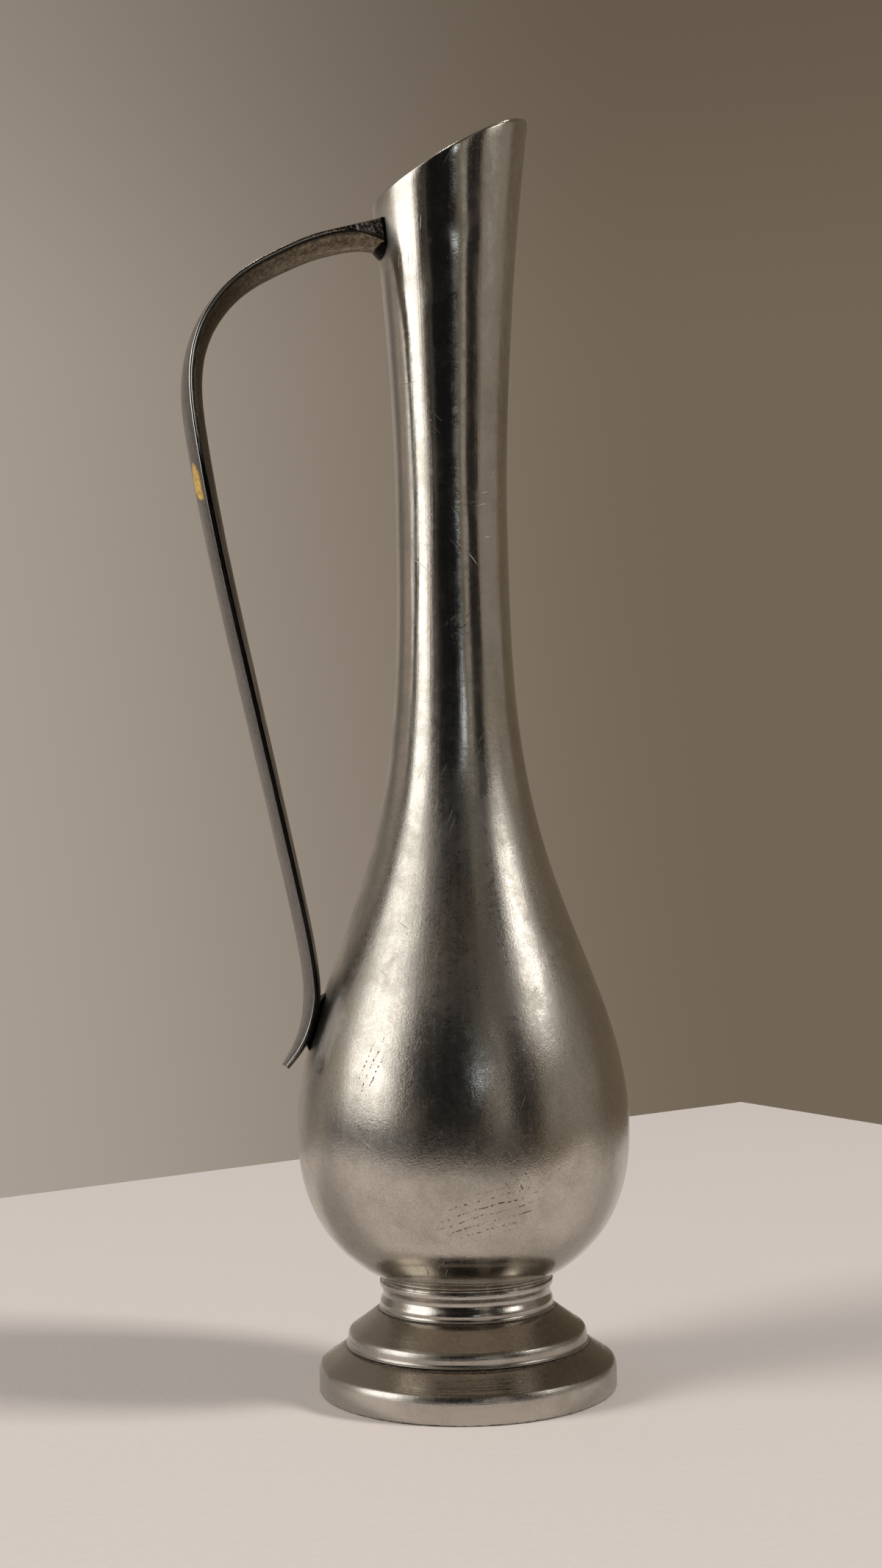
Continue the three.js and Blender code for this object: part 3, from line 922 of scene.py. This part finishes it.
def handle_material():
    pale, dark = (0.5, 0.475, 0.43), (0.36, 0.335, 0.295)
    look = pewter("cast_pewter", pale, dark, 0.2, 1.0, (9.0, 0.12, 3.0), 0.7)
    along, across, _ = look.layout("route")
    part = look.layout("section")[0]
    streak = look.noise(1.0, 3.0, 0.6, look.join(look.times(along, 0.09), look.times(across, 2.2), part))
    mottle = look.noise(1.3, 4.0, 0.65)
    # the outer face is grey and drawn lengthwise
    outer = look.fit(part, 0.02, 0.12, 1.0, 0.0)
    rubbing = look.add(look.times(streak, 0.55), look.times(mottle, 0.45))
    worn = look.blend(look.fit(rubbing, 0.4, 0.6), (0.35, 0.33, 0.315), (0.2, 0.187, 0.178))
    look.paint(outer, worn)
    look.roughen(outer, 0.12)
    # the flank is painted nearly black, a painted shade for the dark room it faces, with flecks of painted
    # highlight toward the root
    flank = look.span(part, 0.05, 0.11, 0.94, 1.0)
    fleck_highlights = look.times(look.fit(mottle, 0.5, 0.6), look.fit(along, 26.0, 6.0), look.fit(part, 0.9, 0.6))
    look.paint(look.times(flank, 0.93), (0.055, 0.052, 0.048))
    look.paint(look.times(flank, fleck_highlights, 0.8), (0.75, 0.72, 0.67))
    look.roughen(flank, fleck_highlights, 0.3)
    # a painted highlight along the arris, strongest on the bow and toward the tip
    arris = look.span(part, 0.01, 0.04, 0.06, 0.12)
    arris_highlight_reach = look.span(along, 14.0, 40.0, 66.0, 86.0)
    arris_highlight_reach = look.maths("MAXIMUM", arris_highlight_reach, look.fit(along, ROUTE_LENGTH - 18.0, ROUTE_LENGTH - 8.0))
    look.paint(look.times(arris, look.fit(arris_highlight_reach, 0.0, 1.0, 0.08, 1.0)), (0.95, 0.92, 0.86))
    # a painted highlight line along the flank of the bow, raised a little in the bump
    flank_highlight = look.times(look.near(part, 0.47, 0.13), look.fit(along, 8.0, 18.0), look.fit(along, 78.0, 60.0))
    flank_highlight = look.times(flank_highlight, look.fit(streak, 0.3, 0.5, 0.3, 1.0))
    look.paint(look.times(flank_highlight, 0.9), (0.95, 0.93, 0.88))
    look.roughen(flank_highlight, 0.1)
    look.lift(flank_highlight, 8.0)
    # the inner side is brown and mottled on the bow, greyer down the shank
    inner = look.fit(part, 0.99, 1.03)
    bow = look.fit(along, 62.0, 95.0, 1.0, 0.0)
    brown = look.blend(look.fit(mottle, 0.38, 0.62), (0.29, 0.245, 0.185), (0.13, 0.105, 0.075))
    brown = look.blend(look.times(look.fit(along, 18.0, 45.0), 0.62), brown, (0.08, 0.064, 0.045))
    grey = look.blend(look.fit(streak, 0.38, 0.6), (0.56, 0.53, 0.485), (0.25, 0.232, 0.21))
    grey = look.blend(look.fit(along, 128.0, 96.0, 0.0, 0.55), grey, (0.12, 0.108, 0.095))
    look.paint(inner, look.blend(bow, grey, brown))
    look.roughen(inner, 0.18)
    # painted shade on the lower flank and inner side of the tail, where it nears the bulb
    tail_shade = look.times(look.fit(along, ROUTE_LENGTH - 24.0, ROUTE_LENGTH - 15.0), look.fit(part, 0.42, 0.6))
    look.paint(look.times(tail_shade, 0.9), (0.03, 0.028, 0.025))
    # a painted shade line where the flank meets the inner side, and dirt toward the neck
    line = look.times(look.near(part, 0.98, 0.07), look.fit(mottle, 0.25, 0.5, 0.4, 1.0))
    look.paint(line, (0.03, 0.026, 0.022))
    root = look.times(look.fit(along, 12.0, 4.0), look.fit(part, 0.9, 1.0, 1.0, 0.0))
    look.lift(root, mottle, 6.0)
    # a painted shadow across the strap's end, in the gap against the neck
    end = look.times(look.fit(along, 2.9, 2.3), look.fit(mottle, 0.2, 0.5, 0.7, 1.0))
    end = look.times(end, look.fit(part, 0.95, 1.0, 1.0, 0.0))
    look.paint(end, (0.02, 0.018, 0.016))
    # an amber patch of residue, leaf shaped, on the outer face below the bow
    down = look.maths("DIVIDE", look.maths("SUBTRACT", 180.0, look.z), 8.1)
    inside = look.maths("MAXIMUM", look.maths("MULTIPLY", down, look.maths("SUBTRACT", 1.0, down)), 0.0)
    breadth = look.times(look.maths("POWER", inside, 0.6), 8.3)
    middle = look.times(look.maths("POWER", look.maths("MAXIMUM", down, 0.0), 5.0), -3.4)
    away = look.maths("ABSOLUTE", look.maths("SUBTRACT", look.add(across, -0.35), middle))
    ragged = look.times(look.maths("SUBTRACT", look.noise(0.7, 3.0), 0.5), 1.2)
    within = look.maths("SUBTRACT", breadth, look.add(away, ragged))
    amber = look.fit(within, 0.0, 0.5)
    amber = look.times(amber, look.fit(inside, 0.0, 0.02), look.fit(part, 0.1, 0.3, 1.0, 0.0))
    resin = look.blend(look.fit(mottle, 0.4, 0.6), (0.52, 0.34, 0.06), (0.27, 0.145, 0.028))
    brim = look.fit(within, 0.5, 1.3, 0.75, 0.0)
    resin = look.blend(brim, resin, (0.12, 0.065, 0.02))
    look.paint(amber, resin)
    look.roughen(amber, 0.05)
    look.lift(amber, 3.0)
    look.wire(look.maths("SUBTRACT", 1.0, amber), look.shader.inputs["Metallic"])
    return close(look, 0.026)


def solder_material(name, colour, rough):
    look = Look(name)
    grain = look.noise(1.1, 5.0, 0.65)
    pits = look.fit(look.cells(1.6), 0.0, 0.4)
    glint = look.fit(look.noise(0.8, 4.0, 0.6, bend=0.8), 0.6, 0.72)
    look.tone = look.blend(grain, tuple(c * 0.55 for c in colour), colour)
    # painted highlights: lighter flecks over the solder's tone
    look.paint(look.times(glint, 0.12), (0.2, 0.19, 0.17))
    look.rough = look.maths("MULTIPLY_ADD", grain, 0.25, rough - 0.1)
    look.height = look.add(grain, look.times(pits, 0.6))
    look.shader.inputs["Metallic"].default_value = 1.0
    return close(look, 0.12)


def table_material():
    look = Look("table_top")
    cloud = look.noise(0.012, 4.0, 0.55)
    speck = look.fit(look.noise(0.6, 2.0, 0.6), 0.3, 0.75)
    look.tone = look.blend(cloud, (0.72, 0.655, 0.62), (0.68, 0.615, 0.575))
    look.paint(look.times(speck, 0.15), (0.58, 0.52, 0.48))
    look.rough = look.maths("MULTIPLY_ADD", cloud, 0.1, 0.55)
    look.height = look.times(speck, 0.4)
    return close(look, 0.03)


def coat(piece, material):
    """Gives a piece one material in place of any other."""
    piece.data.materials.clear()
    piece.data.materials.append(material)


def dress(piece, material, slot, *nodes):
    """Coats a skin, ties it to the body, and lets it stand for the solids it covers."""
    coat(piece, material)
    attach(piece, "root")
    if nodes:
        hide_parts(*nodes)


# Stage, light and camera


# What the lamps and cards face, about half way up the vessel
AIM = Vector((0, 0, 0.12))


def facing(azimuth, elevation, distance):
    """A place round the vessel; azimuth 0 is on the -Y side and 90 on +X."""
    a, e = math.radians(azimuth), math.radians(elevation)
    away = Vector((math.sin(a) * math.cos(e), -math.cos(a) * math.cos(e), math.sin(e)))
    return AIM + away * distance, away


def lamp(name, azimuth, elevation, distance, width, height, power, colour):
    """A soft lamp for the table and its shadows; the cards are what the metal mirrors."""
    place, away = facing(azimuth, elevation, distance)
    data = bpy.data.lights.new(name, "AREA")
    data.shape = "RECTANGLE"
    data.size, data.size_y = width, height
    data.energy = power
    data.color = colour
    made = bpy.data.objects.new(name, data)
    made.location = place
    made.rotation_mode = "QUATERNION"
    made.rotation_quaternion = away.to_track_quat("Z", "Y")
    made.visible_camera = False
    made.visible_glossy = False
    bpy.context.scene.collection.objects.link(made)


def card_material(name, colour, strength, soft):
    """A card that glows evenly and fades out towards its edges."""
    material = bpy.data.materials.new(name)
    material.use_nodes = True
    graph = Graph(material.node_tree)
    graph.tree.nodes.clear()
    place = graph.split(graph.node("ShaderNodeTexCoord").outputs["Generated"])
    across, up = (graph.fit(graph.maths("PINGPONG", place[axis], 0.5), 0.0, soft) for axis in (0, 1))
    glow = graph.node("ShaderNodeEmission", {"Color": (*colour, 1.0), "Strength": strength})
    clear = graph.node("ShaderNodeBsdfTransparent")
    shown = graph.either(graph.times(across, up), clear.outputs[0], glow.outputs[0])
    graph.node("ShaderNodeOutputMaterial", {0: shown})
    return material


def card(name, azimuth, elevation, half_across, half_up, colour, strength, soft, distance=4.0):
    """A card that stands far off and is seen only mirrored in the metal. Its half sizes are angles."""
    place, away = facing(azimuth, elevation, distance)
    w = distance * math.tan(math.radians(half_across))
    h = distance * math.tan(math.radians(half_up))
    data = bpy.data.meshes.new(name)
    data.from_pydata([(-w, -h, 0), (w, -h, 0), (w, h, 0), (-w, h, 0)], [], [(0, 1, 2, 3)])
    data.materials.append(card_material(name, colour, strength, soft))
    piece = bpy.data.objects.new(name, data)
    piece.location = place
    piece.rotation_mode = "QUATERNION"
    piece.rotation_quaternion = away.to_track_quat("Z", "Y")
    piece.visible_camera = False
    piece.visible_diffuse = False
    piece.visible_shadow = False
    bpy.context.scene.collection.objects.link(piece)


def make_room():
    """The wall's colour for the eye, the metal and glass; an even grey for what it lights."""
    world = bpy.data.worlds.new("room")
    bpy.context.scene.world = world
    world.use_nodes = True
    graph = Graph(world.node_tree)
    graph.tree.nodes.clear()
    place = graph.node("ShaderNodeTexCoord").outputs["Generated"]
    leftward = graph.vector("DOT_PRODUCT", place, (-0.9539, 0.2997, -0.12))
    wall = graph.blend(graph.fit(leftward, -0.16, 0.3), (0.168, 0.131, 0.092), (0.40, 0.345, 0.295))
    shade = graph.fit(graph.split(place)[2], 0.26, 0.47, 1.0, 0.76)
    seen = graph.node("ShaderNodeBackground", {"Color": graph.vector("SCALE", wall, scale=shade)})
    even = graph.node("ShaderNodeBackground", {"Color": (0.95, 0.97, 1.0, 1.0), "Strength": 0.21})
    ray = graph.node("ShaderNodeLightPath").outputs
    shows = graph.maths("MAXIMUM", ray["Is Camera Ray"], ray["Is Glossy Ray"])
    shows = graph.maths("MAXIMUM", shows, ray["Is Transmission Ray"])
    shown = graph.either(shows, even.outputs[0], seen.outputs[0])
    graph.node("ShaderNodeOutputWorld", {0: shown})


def make_stage():
    # the table's outline; its front edge lies out of the picture and is seen only mirrored in the bulb
    outline = [
        (0.262, 0.4035),
        (-0.344, 0.1587),
        (-0.31, -0.02),
        (-0.21, -0.10),
        (-0.13, -0.155),
        (-0.055, -0.182),
        (0.025, -0.172),
        (0.12, -0.15),
        (0.3456, -0.155),
    ]
    data = bpy.data.meshes.new("table_top")
    data.from_pydata([(x, y, 0) for x, y in outline], [], [tuple(range(len(outline)))])
    data.materials.append(table_material())
    table = bpy.data.objects.new("table_top", data)
    bpy.context.scene.collection.objects.link(table)
    make_room()
    daylight = (1.0, 0.965, 0.92)
    pane = (1.0, 0.985, 0.965)
    # azimuth, elevation and distance, width, height, power
    lamp("lamp_left", -85, 16, 4.0, 1.6, 1.6, 195, daylight)
    lamp("lamp_right", 58, 29, 4.0, 0.9, 0.7, 145, daylight)
    # azimuth, elevation, half width and half height as angles, colour, strength, soft edge, distance
    card("window_left", -88, 21.5, 27, 27, pane, 2.5, 0.34)
    card("window_right", 54, 32, 14, 11, pane, 5.7, 0.45)
    card("right_wall", 65, 9, 29, 17, (0.3, 0.265, 0.225), 1.0, 0.14, 3.97)
    card("back_left", -146, 8, 17, 26, (0.21, 0.19, 0.17), 1.0, 0.4, 3.97)
    card("dark_left", -25, 17, 24, 30, (0.009, 0.009, 0.009), 1.0, 0.04, 3.8)
    card("dark_shade", -54, 17, 15, 34, (0.012, 0.012, 0.012), 1.0, 0.5, 3.75)
    card("dark_right", 24, 17, 13, 30, (0.022, 0.019, 0.017), 1.0, 0.06, 3.8)
    card("pale_strip", 9.5, 15, 4.8, 24, (0.38, 0.355, 0.32), 1.0, 0.12, 3.7)
    card("small_pane", -4.5, 17.5, 3.2, 3.2, (0.85, 0.93, 1.0), 5.0, 0.4, 3.65)
    card("low_left", -90, -16, 38, 15.5, (0.1, 0.105, 0.113), 1.0, 0.04, 3.9)
    card("low_front", -16, -16, 38, 15.5, (0.05, 0.045, 0.04), 1.0, 0.04, 3.95)
    card("ceiling_left", -151, 66, 3.4, 3.4, daylight, 28.0, 0.3, 3.9)
    card("ceiling_right", 116, 66, 3.4, 3.4, daylight, 22.0, 0.3, 3.9)


# The fitted camera: its focal length and the picture's height in pixels, and its film in millimetres
FOCAL_PIXELS = 2500
PICTURE_HEIGHT = 2133
FILM = 36


def make_camera():
    data = bpy.data.cameras.new("camera")
    data.sensor_width = FILM
    data.lens = FILM * FOCAL_PIXELS / PICTURE_HEIGHT
    data.clip_start, data.clip_end = 0.01, 20
    camera = bpy.data.objects.new("camera", data)
    # its axes and its place, as fitted to the rings of the foot and the outline
    right = Vector((0.953859, -0.299686, -0.018474))
    up = Vector((0.000024, -0.061449, 0.99811))
    forward = Vector((0.300255, 0.952057, 0.058606))
    turn = Matrix((right, up, -forward)).transposed().to_4x4()
    camera.matrix_world = Matrix.Translation((-0.1131, -0.34809, 0.0963)) @ turn
    bpy.context.scene.collection.objects.link(camera)
    bpy.context.scene.camera = camera


# The pitcher, put together

make_camera()

metal_body = vessel_material()
metal_foot = foot_material()
metal_handle = handle_material()
# solder coloured near black: painted shade for the gaps at the handle's joints
solder_with_painted_shade = solder_material("solder_painted_shade", (0.012, 0.011, 0.01), 0.42)
grey_solder = solder_material("inner_solder", (0.3, 0.285, 0.26), 0.5)

dress(make_vessel(), metal_body, "spun_pewter", "upper_body", "lower_bowl")
lower_tier, upper_tier = make_tiers()
dress(lower_tier, metal_foot, "turned_pewter", "foot_lower_tier")
dress(upper_tier, metal_foot, "turned_pewter", "foot_upper_tier")
dress(make_collar(), metal_foot, "turned_pewter", "foot_collar")
dress(make_strap(), metal_handle, "cast_pewter", "handle")
dress(seat_solder(), solder_with_painted_shade, "solder", "handle_lower_solder")
dress(root_solder(), solder_with_painted_shade, "solder", "handle_top_solder")
dress(end_solder(), solder_with_painted_shade, "solder", "handle_top_solder")
dress(make_fillet(), metal_body, "spun_pewter")

for node in ("belly_seam_solder", "collar_solder", "tier_solder", "disc_solder"):
    coat(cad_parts[node], grey_solder)
coat(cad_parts["base_disc"], metal_foot)

make_stage()
bpy.context.scene.view_settings.view_transform = "Standard"
